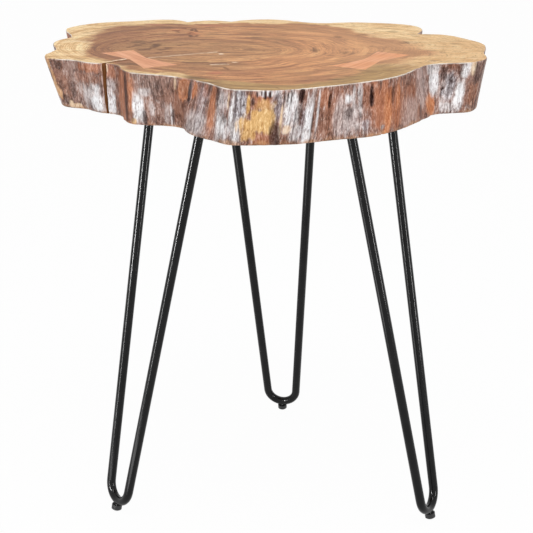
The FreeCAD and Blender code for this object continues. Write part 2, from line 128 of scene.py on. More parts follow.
# Patches of the natural edge: softness of a kind's border, then strength, left, top, right, bottom in pixels
PATCHES_PX = {
    "tan": (0.5, (
        (0.75, 62, 61, 101, 86), (0.4, 60, 84, 84, 100), (0.85, 133, 74, 178, 98), (0.5, 144, 96, 176, 124),
        (0.7, 466, 68, 478, 106),
    )),
    "umber": (0.5, (
        (1.0, 53, 58, 64, 73), (0.9, 56, 70, 70, 98), (0.8, 119, 72, 127, 118), (0.4, 150, 73, 178, 86),
        (0.7, 158, 84, 176, 104), (0.9, 175, 78, 184, 128), (0.6, 272, 110, 279, 125),
        (0.7, 280, 134, 296, 144), (0.5, 313, 90, 317, 138), (0.8, 318, 104, 334, 138),
        (0.5, 374, 80, 384, 92), (0.4, 403, 72, 412, 100), (0.8, 443, 63, 461, 72),
        (0.4, 466, 68, 478, 106),
    )),
    "rust": (0.35, (
        (1.0, 80, 62, 105, 74), (0.45, 79, 73, 103, 84), (0.8, 106.5, 64, 116, 80),
        (1.0, 116, 68, 133, 122), (0.9, 203.5, 84, 208, 98), (0.7, 208, 86, 215.5, 134),
        (1.0, 249, 90, 272, 113), (0.8, 252, 132, 270, 145), (0.8, 319, 88, 331, 108),
        (0.5, 333, 86, 343, 126), (0.5, 362, 84, 370, 110), (1.0, 373, 80, 402, 133),
        (0.7, 402, 76, 426, 124),
    )),
    "orange": (0.3, (
        (1.0, 47, 57, 51.5, 69), (1.0, 51, 68, 55.5, 80), (1.0, 55, 79, 60, 96), (0.6, 129, 72, 133, 112),
        (1.0, 180, 79, 190, 99), (0.8, 192, 81, 197, 99), (0.5, 208.5, 88, 215, 132),
        (0.75, 384, 92, 392, 130), (0.6, 396, 76, 400, 108), (1.0, 425, 94, 434, 114),
        (0.25, 467, 84, 477, 104),
    )),
    "slate": (0.4, (
        (0.35, 197, 84, 206, 132), (0.3, 217, 90, 227, 140), (0.8, 234, 91, 247, 120),
        (0.6, 272, 91, 283, 121), (0.5, 300, 108, 306, 138), (0.5, 359, 119, 370, 132),
        (0.7, 447, 74, 457, 100),
    )),
    # Silver patches: weathered silvery fibres with painted glare of the lacquer laid over them
    "silver_and_glare": (0.45, (
        (0.6, 85, 86, 97, 109), (1.0, 91, 94, 106, 112), (0.8, 92, 84, 100, 97), (0.5, 108.5, 78, 116, 94),
        (1.0, 109.5, 90, 117.5, 115), (1.0, 134, 95, 143.5, 122), (0.5, 137, 88, 150, 96),
        (0.35, 149, 102, 155, 116), (0.28, 164, 106, 170, 126), (0.7, 170.6, 106, 172.2, 126),
        (0.45, 186, 112, 205, 136), (0.35, 217, 90, 228, 114), (0.8, 216, 114, 227, 142),
        (1.0, 228.7, 90, 232.7, 136), (0.3, 234, 91, 247, 120), (0.8, 230, 120, 240, 143),
        (0.9, 256, 90, 274, 97), (0.9, 284, 91, 300, 126), (0.7, 290, 126, 300, 140),
        (1.0, 305.5, 90, 313, 140), (0.8, 316.8, 92, 318.8, 134), (0.4, 334, 100, 344, 132),
        (0.45, 340, 104, 362, 134), (0.9, 345, 94, 353, 104.5), (0.6, 352, 86, 355, 110),
        (0.6, 358, 84, 362, 116), (0.8, 383.5, 125, 385.5, 130), (0.25, 404, 96, 418, 124),
        (0.35, 416, 68, 427, 108), (0.7, 428, 65, 440, 74), (0.95, 430, 72, 440, 93),
        (0.7, 440, 102, 458, 112), (0.35, 441, 74, 458, 104), (1.0, 455, 80, 465, 111),
        (0.9, 462, 62, 471, 78),
    )),
    "bare": (0.25, (
        (0.6, 47, 57, 51.5, 69), (0.6, 51, 68, 55.5, 80), (0.5, 55, 79, 60, 96),
        (0.8, 131.5, 119, 136, 123.5), (0.9, 241, 127, 256, 141), (1.0, 240.5, 117, 271.5, 133),
        (1.0, 246, 108, 272, 125), (1.0, 246.5, 94, 251, 116), (0.6, 252, 99, 272, 113),
    )),
    "cream": (0.3, (
        (0.3, 47, 57, 51.5, 69), (0.3, 51, 68, 55.5, 80), (0.3, 55, 79, 60, 96),
        (1.0, 70, 100.5, 74.5, 107), (0.8, 73, 103, 82, 108), (0.9, 106.5, 63, 109, 72),
        (0.55, 174.2, 77.5, 176, 88), (0.6, 227.5, 90, 229.5, 110), (1.0, 279.5, 103, 282.5, 134),
        (0.7, 283, 126, 290, 133), (0.8, 471, 62, 476, 74),
    )),
    # Dark patches: real char and cracks, and painted shade in the hollows' recess, slits, pits and flutes
    "dark": (0.3, (
        (0.6, 54, 59, 62, 70), (0.5, 64, 95, 70, 103), (0.5, 70, 80, 76, 97), (0.6, 100, 80, 103, 98),
        (0.8, 124.5, 72, 127, 118), (0.5, 127, 112, 133, 121), (0.75, 142.5, 111, 147.5, 124),
        (0.35, 154.5, 79, 161, 91), (0.4, 160, 98, 166, 110), (0.8, 172.4, 110, 174, 126),
        (0.42, 181, 80, 189, 97), (1.0, 187.6, 77, 190.6, 106), (0.9, 250.5, 97, 256, 107),
        (1.0, 256, 90, 258.6, 99), (1.0, 260.3, 90, 262.7, 97), (1.0, 264.3, 90, 267, 100),
        (1.0, 269, 91, 271.2, 99), (0.8, 270, 124, 280, 144), (0.3, 273, 96, 281, 122),
        (0.8, 283.8, 91, 285, 110), (0.9, 287.2, 91, 288.6, 103), (0.9, 290.8, 92, 292.2, 105),
        (0.7, 293.8, 100, 295.2, 138), (0.5, 298, 104, 302, 124), (1.0, 299.5, 88.5, 305, 104),
        (1.0, 328.8, 95, 331.3, 107.5), (0.5, 346, 107, 353, 121), (0.6, 358.8, 112, 361, 118),
        (1.0, 370.5, 88, 374, 105), (1.0, 382, 126, 385, 134), (0.6, 391.5, 78, 395, 106),
        (0.4, 400.4, 77, 401.8, 98), (0.5, 418.5, 105, 422.5, 122), (0.8, 440.5, 64, 447, 80),
        (1.0, 441.3, 87, 444.2, 97), (0.4, 449, 76, 452, 98), (0.7, 474.5, 65, 480, 82),
    )),
}

# Painted highlight along the front rim: first and last pixel across of its stretches, fade, rest and depth
RIM_HIGHLIGHT_PX = ((56, 99), (130, 177), (196, 262), (296, 414), (428, 472))
RIM_HIGHLIGHT_FADE_PX = 4
RIM_HIGHLIGHT_REST_SHARE = 0.15
RIM_HIGHLIGHT_DEPTH_SHARES = (1.2, 0.4)

# The front's darker sapwood: where it begins and ends across the face, and what is left of it beyond
FRONT_BEGINS = (-0.088, -0.074)
FRONT_BEFORE_SHARE = 0.35
FRONT_ENDS = (0.12, 0.17)
FRONT_AFTER_SHARE = 0.5
FRONT_FACING_SHARES = (0.2, 0.65)

# Border of the brown heartwood on the face, in pixels, from its right tip round by the back
HEART_BORDER_PX = (
    (427, 49), (420, 44), (400, 39.5), (378, 37), (357, 33), (345, 29), (332, 26), (300, 23.5), (284, 24),
    (253, 24.5), (221, 23.5), (193, 25), (161, 24.5), (133, 25.5), (109, 27.5), (98, 30.5), (94, 34.5),
    (85, 40.5), (86, 46.5), (85, 52.5), (95, 57.5), (110, 61.5), (122, 65.5), (134, 70.5), (146, 73.8),
    (153, 74.3), (160, 72.5), (172, 71.5), (182, 73), (190, 76.5), (205, 79), (222, 81), (258, 84),
    (289, 83.5), (320, 81), (358, 73.5), (380, 66.5), (409, 60), (428, 54.5),
)

# Hairlines on the face: ends in pixels, width in millimetres, strength
PALE_SEAMS_PX = (
    (103, 62.4, 127, 58.7, 2.0, 0.9), (148, 57.8, 182, 54.8, 2.6, 0.5), (182, 54.8, 218, 51.9, 2.6, 0.55),
    (219.6, 53.4, 222.2, 54.4, 2.4, 1.0), (210, 64.5, 229, 64.1, 3.2, 0.75),
    (233.3, 62.5, 236.6, 62, 3.2, 1.0),
)
DARK_SEAMS_PX = (
    (182, 61.7, 208, 63.1, 5, 0.6), (208, 63.1, 227, 63.2, 4, 0.6), (212, 66.3, 227, 67.2, 4, 0.5),
    (224, 66.8, 228, 69.7, 3, 0.6), (190.5, 31, 194, 28.8, 3, 0.8), (194, 28.8, 197.5, 32, 2.5, 0.8),
    (187.5, 35, 192.5, 37, 4, 0.8), (195, 37, 198.5, 35, 2.5, 0.6), (177.5, 31.6, 180.5, 32.4, 3, 0.7),
    (200, 32, 227, 32.7, 4, 0.45), (152, 46.5, 157.5, 44.2, 4, 0.75), (154, 53, 169, 51.3, 4, 0.6),
    (150, 34.8, 168, 33.2, 4, 0.5), (140, 50.5, 152, 47.8, 5, 0.7), (152, 47.8, 160, 44.2, 5, 0.7),
    (158, 50.2, 172, 47.4, 5, 0.6), (126, 47.6, 140, 44.8, 5, 0.5), (140, 44.8, 152, 41.6, 5, 0.6),
    (152, 41.6, 168, 39.4, 5, 0.5), (112, 43.4, 130, 40.2, 5, 0.45), (176, 45.2, 200, 43.4, 5, 0.45),
)

# Knots, blushes and stains on the face: middles in pixels, half sizes in millimetres
KNOTS_PX = ((193.6, 33, 7, 15), (176, 30, 7, 10), (184, 28.4, 3, 5))
BLUSHES_PX = ((213, 25.8, 18, 6), (215.5, 72.8, 7, 8), (156, 24.8, 14, 5))
STAINS_PX = (
    (155, 45.5, 5, 12), (138, 42, 9, 9), (127, 64, 12, 7), (216, 43.6, 9, 6), (315, 50, 5, 14),
    (347, 53, 7, 10), (338, 37, 5, 9), (362, 35, 7, 9), (393, 31.5, 7, 7), (404.5, 42.5, 6, 9),
    (335, 79.5, 9, 3), (351, 76.5, 8, 3), (372, 72, 8, 3), (194, 78, 13, 8), (213, 82, 10, 5),
    (255, 32, 30, 3),
)

# Levels of a noise: its middle, its reach, and where most of it lies
NOISE_MIDDLE = 0.5
NOISE_REACH = (0.2, 0.8)
NOISE_USUAL = (0.3, 0.7)

# Floor and world
FLOOR_SIZE = 30
FLOOR_GREY = (0.85, 0.85, 0.85, 1.0)
FLOOR_WHITE_SHARE = 0.97
WHITE = (1, 1, 1, 1)
WORLD_LEVEL = 0.50

# Lamps: place, what they are aimed at, width, height, watts, and the rays that don't see them
GLINT = ("diffuse", "camera")
LAMPS = {
    "front_fill": ((0.0, -2.8, 1.1), (0, 0, 0.5), 2.4, 1.4, 30, ("glossy",)),
    "overhead": ((0.0, -0.7, 2.5), (0, 0, 0.5), 1.4, 0.9, 22, ()),
    "left_strip": ((-0.76, -0.56, 0.44), (-0.15, -0.1, 0.44), 0.08, 0.34, 11, GLINT),
    "left_low_strip": ((-0.76, -0.56, 0.135), (-0.15, -0.1, 0.135), 0.08, 0.25, 2.2, GLINT),
    "right_strip": ((0.85, -0.56, 0.36), (0.15, -0.1, 0.36), 0.08, 0.4, 4, GLINT),
    "low_left": ((-0.585, -0.255, 0.004), (-0.585, -0.255, 1.0), 0.73, 0.21, 2.4, GLINT),
}


class Nodes:
    """The nodes of a material or a world while they are put together."""

    def __init__(self, owner):
        owner.use_nodes = True
        self.owner = owner
        self.tree = owner.node_tree

    def feed(self, socket, value):
        if isinstance(value, bpy.types.NodeSocket):
            self.tree.links.new(value, socket)
        else:
            socket.default_value = value

    def node(self, kind, inputs=None, **settings):
        made = self.tree.nodes.new(kind)
        for name, value in settings.items():
            setattr(made, name, value)
        for socket, value in (inputs or {}).items():
            self.feed(made.inputs[socket], value)
        return made

    def work(self, operation, first, second=0.0):
        return self.node("ShaderNodeMath", {0: first, 1: second}, operation=operation).outputs[0]

    def add(self, first, second):
        return self.work("ADD", first, second)

    def times(self, first, second):
        return self.work("MULTIPLY", first, second)

    def strongest(self, masks):
        whole = masks[0]
        for mask in masks[1:]:
            whole = self.work("MAXIMUM", whole, mask)
        return whole

    def seen_rays(self):
        """1 on rays that are seen straight, in gloss or through glass."""
        rays = self.node("ShaderNodeLightPath").outputs
        return self.strongest([rays[f"Is {kind} Ray"] for kind in ("Camera", "Glossy", "Transmission")])


class Shade(Nodes):
    """A procedural material. What its colours follow is kept by name."""

    def __init__(self, name):
        super().__init__(bpy.data.materials.new(name))
        self.shader = self.tree.nodes["Principled BSDF"]
        self.place = self.node("ShaderNodeTexCoord").outputs["Object"]
        self.follow = {}

    def attribute(self, name):
        return self.node("ShaderNodeAttribute", attribute_name=name).outputs["Fac"]

    def vector_work(self, operation, first, second=(0, 0, 0)):
        return self.node("ShaderNodeVectorMath", {0: first, 1: second}, operation=operation).outputs

    def noise(self, vector, detail=3.0, roughness=0.55, distortion=0.0):
        inputs = {"Vector": vector, "Scale": 1.0, "Detail": detail, "Roughness": roughness,
                  "Distortion": distortion}
        return self.node("ShaderNodeTexNoise", inputs).outputs["Fac"]

    def texture(self, waves, *settings, **named):
        """A noise with so many waves per metre across, along the depth and up."""
        return self.noise(self.vector_work("MULTIPLY", self.place, waves)[0], *settings, **named)

    def follow_noises(self, table):
        for name, settings in table.items():
            self.follow[name] = self.texture(*settings)

    def span(self, value, low, high, to_low=0.0, to_high=1.0):
        inputs = {"Value": value, "From Min": low, "From Max": high, "To Min": to_low, "To Max": to_high}
        return self.node("ShaderNodeMapRange", inputs, interpolation_type="SMOOTHSTEP").outputs["Result"]

    def sway(self, value, reaches):
        """A value that noises shift to both sides, each by its own reach."""
        for name, reach in reaches.items():
            value = self.add(value, self.span(self.follow[name], *NOISE_REACH, -reach, reach))
        return value

    def between(self, value, least, most):
        """A noise stretched from one level to another."""
        return self.span(value, *NOISE_USUAL, least, most)

    def mix(self, share, first, second):
        # Sockets 6, 7 and 2 are the node's colours
        return self.node("ShaderNodeMix", {0: share, 6: first, 7: second}, data_type="RGBA").outputs[2]

    def ramp(self, value, stops):
        made = self.node("ShaderNodeValToRGB", {"Fac": value})
        elements = made.color_ramp.elements
        while len(elements) < len(stops):
            elements.new(1.0)
        for element, (place, colour) in zip(elements, stops):
            element.position = place
            element.color = colour
        return made.outputs["Color"]

    def blend(self, shares):
        """A sum of what is followed, each times its own share."""
        whole = 0.0
        for name, share in shares.items():
            whole = self.add(whole, self.times(self.follow[name], share))
        return whole

    def fade(self, whole, fades):
        """A strength, times a span of each thing that it follows."""
        for name, *span in fades:
            whole = self.times(whole, self.span(self.follow[name], *span))
        return whole

    def wash(self, colour, washes):
        """A colour with others laid over it, each as strong as what it follows."""
        for name, low, high, strength, *levels in washes:
            share = self.span(self.follow[name], low, high, 0.0, strength)
            colour = self.mix(share, colour, srgb(*levels))
        return colour

    def line(self, wave, core, rim, strength):
        """Strong where a noise crosses its middle, 0 away from there."""
        far = self.work("ABSOLUTE", self.work("SUBTRACT", wave, NOISE_MIDDLE))
        return self.span(far, core, rim, strength, 0.0)

    def spot(self, centre, wide, deep, soft_share=0.5, ragged_share=0.35):
        """1 inside a ragged oval on the slab's face, 0 outside it."""
        apart = self.vector_work("SUBTRACT", self.place, centre)[0]
        flat = self.vector_work("MULTIPLY", apart, (1 / wide, 1 / deep, 0))[0]
        far = self.vector_work("LENGTH", flat)["Value"]
        far = self.add(far, self.span(self.follow["rags"], 0.0, 1.0, -ragged_share, ragged_share))
        return self.span(far, 1 - soft_share, 1 + soft_share, 1.0, 0.0)

    def seam(self, start, end, width, strength, core_share=0.3, end_share=0.03):
        """Strong on a wandering hairline across the slab's face, 0 away from it."""
        along = end - start
        aside = Vector((-along.y, along.x, 0)) / along.length
        apart = self.vector_work("SUBTRACT", self.place, start)[0]
        share = self.vector_work("DOT_PRODUCT", apart, along / along.length_squared)["Value"]
        far = self.vector_work("DOT_PRODUCT", apart, aside)["Value"]
        far = self.work("ABSOLUTE", self.sway(far, {"rags": width}))
        line = self.span(far, width * core_share, width, strength, 0.0)
        begun = self.span(share, -end_share, end_share)
        to_come = self.span(share, 1 + end_share, 1 - end_share)
        return self.times(line, self.times(begun, to_come))

    def bump(self, height, strength, depth):
        inputs = {"Height": height, "Strength": strength, "Distance": depth}
        return self.node("ShaderNodeBump", inputs).outputs["Normal"]

    def finish(self, **inputs):
        for name, value in inputs.items():
            self.feed(self.shader.inputs[name.replace("_", " ")], value)
        return self.owner


# The photograph's view

def add_camera():
    data = bpy.data.cameras.new("photo_camera")
    data.sensor_width = SENSOR_MM
    data.lens = FOCAL_PX / IMAGE_WIDTH_PX * SENSOR_MM
    camera = bpy.data.objects.new("photo_camera", data)
    bpy.context.collection.objects.link(camera)
    camera.matrix_world = Matrix.Translation(CAMERA_PLACE) @ CAMERA_TURN
    bpy.context.scene.camera = camera


def pixel_ray(u, v):
    """Direction from the camera through one pixel of the photograph."""
    middle = IMAGE_WIDTH_PX / 2
    return (CAMERA_TURN.to_3x3() @ Vector((u - middle, middle - v, -FOCAL_PX))).normalized()


def pixel_across(points):
    """Column of the photograph that shows each of many points."""
    seen = (points - np.array(CAMERA_PLACE)) @ np.array(CAMERA_TURN.to_3x3())
    return IMAGE_WIDTH_PX / 2 - FOCAL_PX * seen[:, 0] / seen[:, 2]


def face_spot(u, v):
    """Place on the slab's face that a pixel of the photograph looks at."""
    ray = pixel_ray(u, v)
    return CAMERA_PLACE + ray * ((SLAB_HIGH.z - CAMERA_PLACE.z) / ray.z)


# The slab's outline and relief

slab_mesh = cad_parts["live_edge_top"].data
slab_tree = BVHTree.FromPolygons([v.co for v in slab_mesh.vertices], [p.vertices for p in slab_mesh.polygons])


def bearing_of(across, deep):
    """Bearing of one or many places as seen from the pith."""
    return np.arctan2(deep - PITH.y, across - PITH.x) % FULL_TURN


def rim_radii(height):
    """Distance from the pith to the slab's edge at every bearing, with the check's mouth bridged."""
    radii = np.zeros(RIM_STEPS)
    for step, bearing in enumerate(BEARINGS):
        away = Vector((math.cos(bearing), math.sin(bearing), 0))
        start = Vector((*PITH, height)) + away * REACH
        radii[step] = REACH - slab_tree.ray_cast(start, -away)[3]
    turns = (BEARINGS - bearing_of(*CHECK_MOUTH) + math.pi) % FULL_TURN - math.pi
    whole = np.abs(turns) * radii.max() > CHECK_BRIDGE
    return np.interp(BEARINGS, BEARINGS[whole], radii[whole], period=FULL_TURN)


top_radii = rim_radii(SLAB_HIGH.z - SKIN)
bottom_radii = rim_radii(SLAB_LOW.z + SKIN)
outward = np.stack((np.cos(BEARINGS), np.sin(BEARINGS)), axis=1)
pith_place = np.array(PITH)


def rim_points(radii):
    return pith_place + outward * radii[:, None]


def plan_normals(points):
    """Outward direction of a closed outline at each of its points."""
    along = np.roll(points, -NORMAL_STEPS, axis=0) - np.roll(points, NORMAL_STEPS, axis=0)
    normal = np.stack((along[:, 1], -along[:, 0]), axis=1)
    return normal / np.linalg.norm(normal, axis=1, keepdims=True)


middle_rim = rim_points((top_radii + bottom_radii) / 2)
middle_steps = np.linalg.norm(np.roll(middle_rim, -1, axis=0) - middle_rim, axis=1)
arc_places = np.concatenate(((0.0,), np.cumsum(middle_steps)[:-1]))
girth = middle_steps.sum()


def arc_at(bearings):
    """Distance round the edge at a bearing."""
    return np.interp(bearings % FULL_TURN, BEARINGS, arc_places, period=FULL_TURN)


def seen_arcs(bearings):
    """Distance round the edge, with the hidden back folded over onto the front."""
    return arc_at(np.where(np.sin(bearings) > 0, -bearings, bearings))


def arc_apart(arcs, arc):
    return (arcs - arc + girth / 2) % girth - girth / 2


def wall_spot(u, v):
    """Place round the edge and height that a pixel, or the next one inwards, looks at."""
    place = None
    while place is None:
        place = slab_tree.ray_cast(CAMERA_PLACE, pixel_ray(u, v))[0]
        u += (SLAB_MIDDLE_PX[0] - u) * INWARD_SHARE
        v += (SLAB_MIDDLE_PX[1] - v) * INWARD_SHARE
    return float(arc_at(bearing_of(place.x, place.y))), place.z


lean_arcs = [wall_spot(u, v)[0] for u, v, lean in FIBRE_LEAN_PX]
leans = [lean for u, v, lean in FIBRE_LEAN_PX]


def fibre_shift(arcs, heights):
    """How far round the edge its leaning fibres stand from where they are at mid height."""
    return np.interp(arcs, lean_arcs, leans, period=girth) * ((SLAB_LOW.z + SLAB_HIGH.z) / 2 - heights)


def wall_box(left, top, right, bottom):
    """Middle and half size, round the edge and up it, of a box of pixels, with the fibres upright."""
    across, down = (left + right) / 2, (top + bottom) / 2
    start, end = wall_spot(left, down)[0], wall_spot(right, down)[0]
    high, low = wall_spot(across, top)[1], wall_spot(across, bottom)[1]
    width = abs(arc_apart(end, start)) / 2
    middle, height = start + arc_apart(end, start) / 2, (high + low) / 2
    return middle - fibre_shift(middle, height), height, width, (high - low) / 2


hollows = [(*wall_box(*box), depth * MM) for *box, depth in WALL_HOLLOWS_PX]


def smooth(value, low, high):
    share = np.clip((value - low) / (high - low), 0, 1)
    return share * share * (3 - 2 * share)


def ripple(points, waves, stretch, depth=1.0):
    """Signed noise of some depth at many points, drawn out along the height."""
    scale = Vector((waves, waves, waves * stretch))
    return depth * np.array([noise.noise(Vector(p) * scale) for p in points])


def upright(points, arcs):
    """Many points of the edge, moved round it until the fibres stand upright."""
    away = points[:, :2] - pith_place
    away = away / np.linalg.norm(away, axis=1, keepdims=True)
    shift = fibre_shift(arcs, points[:, 2])[:, None]
    moved = points.copy()
    moved[:, :2] -= np.stack((-away[:, 1], away[:, 0]), axis=1) * shift
    return moved


def relief(points, arcs):
    """How far the debarked edge stands out at many points of it."""
    straight = upright(points, arcs)
    out = ripple(straight, *SWELL)
    for waves, stretch, depth in RIDGES:
        out += depth * (RIDGE_LIFT_SHARE - RIDGE_FALL_SHARE * np.abs(ripple(straight, waves, stretch)))
    arcs = arcs - fibre_shift(arcs, points[:, 2])
    for arc, height, width, tall, depth in hollows:
        far = np.hypot(arc_apart(arcs, arc) / width, (points[:, 2] - height) / tall)
        out -= depth * smooth(far, *HOLLOW_SHARES)
    return out


# The slab's mesh

def edge_rings():
    """Closed loops of points up the edge, from the underside's rounded corner to the face's."""
    top_rim, bottom_rim = rim_points(top_radii), rim_points(bottom_radii)
    arcs = seen_arcs(BEARINGS)
    quarter = np.linspace(0, math.pi / 2, EASE_ROWS + 1)
    rows = [(EASE_BOTTOM * (1 - math.cos(a)), EASE_BOTTOM * (1 - math.sin(a))) for a in quarter]
    rows += [(h, 0.0) for h in np.linspace(EASE_BOTTOM, SLAB_THICKNESS - EASE_TOP, WALL_ROWS)[1:-1]]
    rows += [(SLAB_THICKNESS - EASE_TOP * (1 - math.sin(a)), EASE_TOP * (1 - math.cos(a))) for a in quarter]
    rings = []
    for height, inset in rows:
        share = height / SLAB_THICKNESS
        plan = bottom_rim * (1 - share) + top_rim * share
        points = np.column_stack((plan, np.full(RIM_STEPS, SLAB_LOW.z + height)))
        step = relief(points, arcs) - inset
        points[:, :2] += plan_normals(plan) * step[:, None]
        rings.append(points)
    return rings


def face_rings(rim):
    """Closed loops of points from a rim in towards the pith."""
    far = np.linalg.norm(rim[:, :2] - pith_place, axis=1)
    shares = [1 - inset / far for inset in FACE_INSETS] + [np.full(RIM_STEPS, share) for share in FACE_SHARES]
    rings = []
    for share in shares:
        ring = rim.copy()
        ring[:, :2] = pith_place + (rim[:, :2] - pith_place) * share[:, None]
        rings.append(ring)
    return rings


def lofted(name, rings):
    """A closed mesh object through loops of points, each end closed to its middle."""
    count = len(rings[0])
    points = np.concatenate(rings + [rings[0].mean(0)[None], rings[-1].mean(0)[None]])
    here = np.arange(count)
    ahead = (here + 1) % count
    quads = np.stack((here, ahead, ahead + count, here + count), axis=1)
    last = (len(rings) - 1) * count
    first_middle, last_middle = len(points) - 2, len(points) - 1
    faces = np.concatenate([quads + start for start in range(0, last, count)]).tolist()
    faces += np.stack((ahead, here, np.full(count, first_middle)), axis=1).tolist()
    faces += np.stack((here + last, ahead + last, np.full(count, last_middle)), axis=1).tolist()
    return meshed(name, points, faces)


def meshed(name, points, faces):
    mesh = bpy.data.meshes.new(name)
    mesh.from_pydata(points.tolist(), [], faces)
    made = bpy.data.objects.new(name, mesh)
    bpy.context.collection.objects.link(made)
    return made


def check_cutter():
    """The space of the drying check: a ragged wedge from the left key out through the rim."""
    low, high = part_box("left_bowtie_key")
    start = Vector(((low.x + high.x) / 2, (low.y + high.y) / 2))
    along = CHECK_MOUTH - start
    aside = np.array((-along.y, along.x)) / along.length
    shares = np.linspace(0, 1 + OVERCUT / along.length, CHECK_STEPS)
    middle = np.array(start) + shares[:, None] * np.array(along)
    rings = []
    for height in np.linspace(SLAB_LOW.z - OVERCUT, SLAB_HIGH.z + OVERCUT, CHECK_ROWS):
        points = np.column_stack((middle, np.full(CHECK_STEPS, height)))
        wander = ripple(points, *CHECK_WANDER)
        half = (CHECK_TIP + (CHECK_WIDTH - CHECK_TIP) * shares) / 2
        half = half * (1 + ripple(points + CHECK_RAGS_SHIFT, *CHECK_RAGS))
        one = middle + aside * (wander + half)[:, None]
        other = middle + aside * (wander - half)[:, None]
        loop = np.concatenate((one, other[::-1]))[::-1]
        rings.append(np.column_stack((loop, np.full(len(loop), height))))
    return lofted("check_cutter", rings)


def pocket_cutter(node):
    """The key's own shape, a hair larger, reaching above the face."""
    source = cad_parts[node].data
    points = np.array([v.co for v in source.vertices])
    middle = points.mean(0)
    spread = np.linalg.norm(points[:, :2] - middle[:2], axis=1).max()
    points[:, :2] = middle[:2] + (points[:, :2] - middle[:2]) * (1 + POCKET_GAP / spread)
    points[points[:, 2] > middle[2], 2] += OVERCUT
    made = meshed(node + "_cutter", points, [list(p.vertices) for p in source.polygons])
    weld = made.modifiers.new("weld", "WELD")
    weld.merge_threshold = POCKET_WELD
    return made


def cut_away(piece, cutters):
    """Takes the cutters' space out of a piece and leaves plain mesh."""
    for cutter in cutters:
        cut = piece.modifiers.new(cutter.name, "BOOLEAN")
        cut.object = cutter
        cut.operation = "DIFFERENCE"
        cut.solver = "EXACT"
        cut.material_mode = "TRANSFER"
    whole = piece.evaluated_get(bpy.context.evaluated_depsgraph_get())
    piece.data = bpy.data.meshes.new_from_object(whole)
    piece.modifiers.clear()
    for cutter in cutters:
        bpy.data.objects.remove(cutter)


# Marks that the slab's materials read

def patch_masks(points, arcs):
    """How strongly each kind of patch covers many points of the edge."""
    straight = upright(points, arcs)
    ragged = sum(ripple(straight, *layer) for layer in PATCH_RAGS)
    arcs = arcs - fibre_shift(arcs, points[:, 2])
    masks = {}
    for kind, (soft, boxes) in PATCHES_PX.items():
        masks[kind] = np.zeros(len(points))
        for strength, *box in boxes:
            arc, height, width, tall = wall_box(*box)
            aside, above = arc_apart(arcs, arc) / width, (points[:, 2] - height) / tall
            far = np.cbrt(np.abs(aside) ** 3 + np.abs(above) ** 3)
            masks[kind] = np.maximum(masks[kind], strength * smooth(far + ragged, 1 + soft, 1 - soft))
    return masks


def ring_depth(plan):
    """Half the short side of the long oval about two fixed points that passes each point."""
    ends = [np.linalg.norm(plan - RING_MIDDLE - side * RING_SPREAD, axis=1) for side in (-1, 1)]
    return np.sqrt(np.maximum((sum(ends) / 2) ** 2 - (RING_SPREAD ** 2).sum(), 0))


def ring_shares(plan, bearings):
    """Place among the growth rings: long ovals in the middle, following the rim further out."""
    waves = np.fft.fftfreq(RIM_STEPS, 1 / RIM_STEPS)
    eased_rim = np.fft.ifft(np.fft.fft(top_radii) * np.exp(-(waves * RING_EASE) ** 2 / 2)).real
    rim_depths = ring_depth(rim_points(eased_rim))
    rim = np.interp(bearings, BEARINGS, rim_depths, period=FULL_TURN)
    depth, mean = ring_depth(plan), rim_depths.mean()
    return 2 * depth / (mean + np.sqrt(np.maximum(mean ** 2 + 4 * (rim - mean) * depth, 0)))


def heart_reach(bearings):
    """Distance from the pith to the heartwood's border at many bearings."""
    border = np.array([face_spot(*px)[:2] for px in HEART_BORDER_PX])
    far = np.linalg.norm(border - pith_place, axis=1)
    return np.interp(bearings, bearing_of(*border.T), far, period=FULL_TURN)


def painted_rim_light(points):
    """How strongly the painted pale highlight covers many points of the upper rim."""
    across = pixel_across(points)
    deep, shallow = (SLAB_HIGH.z - share * EASE_TOP for share in RIM_HIGHLIGHT_DEPTH_SHARES)
    mask = np.full(len(points), RIM_HIGHLIGHT_REST_SHARE)
    for start, end in RIM_HIGHLIGHT_PX:
        begun = smooth(across, start - RIM_HIGHLIGHT_FADE_PX, start + RIM_HIGHLIGHT_FADE_PX)
        to_come = smooth(across, end + RIM_HIGHLIGHT_FADE_PX, end - RIM_HIGHLIGHT_FADE_PX)
        mask = np.maximum(mask, begun * to_come)
    return mask * smooth(points[:, 2], deep, shallow)


def front_share(across, bearings):
    """How strongly the front's darker sapwood shows at many points of the face."""
    begun = FRONT_BEFORE_SHARE + (1 - FRONT_BEFORE_SHARE) * smooth(across, *FRONT_BEGINS)
    to_come = 1 - (1 - FRONT_AFTER_SHARE) * smooth(across, *FRONT_ENDS)
    return smooth(-np.sin(bearings), *FRONT_FACING_SHARES) * begun * to_come


def read(items, name, width, kind=float):
    """A value of every point or polygon of a mesh, a row for each."""
    values = np.zeros(len(items) * width, dtype=kind)
    items.foreach_get(name, values)
    return values.reshape(-1, width)


def store(mesh, name, values):
    layer = mesh.attributes.new(name, "FLOAT", "POINT")
    layer.data.foreach_set("value", values.astype(np.float32))


def mark_slab(piece):
    """Per-point marks that the slab's materials read."""
    mesh = piece.data
    points = read(mesh.vertices, "co", 3)
    plan = points[:, :2]
    bearings = bearing_of(*plan.T)
    store(mesh, "ring", ring_shares(plan, bearings))
    store(mesh, "heart", np.linalg.norm(plan - pith_place, axis=1) / heart_reach(bearings))
    store(mesh, "front", front_share(points[:, 0], bearings))
    arcs = seen_arcs(bearings)
    for kind, mask in patch_masks(points, arcs).items():
        store(mesh, kind, mask)
    store(mesh, "foot", smooth(points[:, 2] - SLAB_LOW.z + ripple(points, *FOOT_RAGS), *FOOT_HEIGHTS))
    # Mask of the painted highlight on the upper rim
    store(mesh, "rim_highlight", painted_rim_light(points))
    straight = upright(points, arcs)
    # Mask of the painted shade in the edge's fine grooves
    store(mesh, "groove_shade", np.clip(np.abs(ripple(straight, *GROOVES)), 0, 1))
    layer = mesh.attributes.new("fibre_place", "FLOAT_VECTOR", "POINT")
    layer.data.foreach_set("vector", straight.ravel().astype(np.float32))


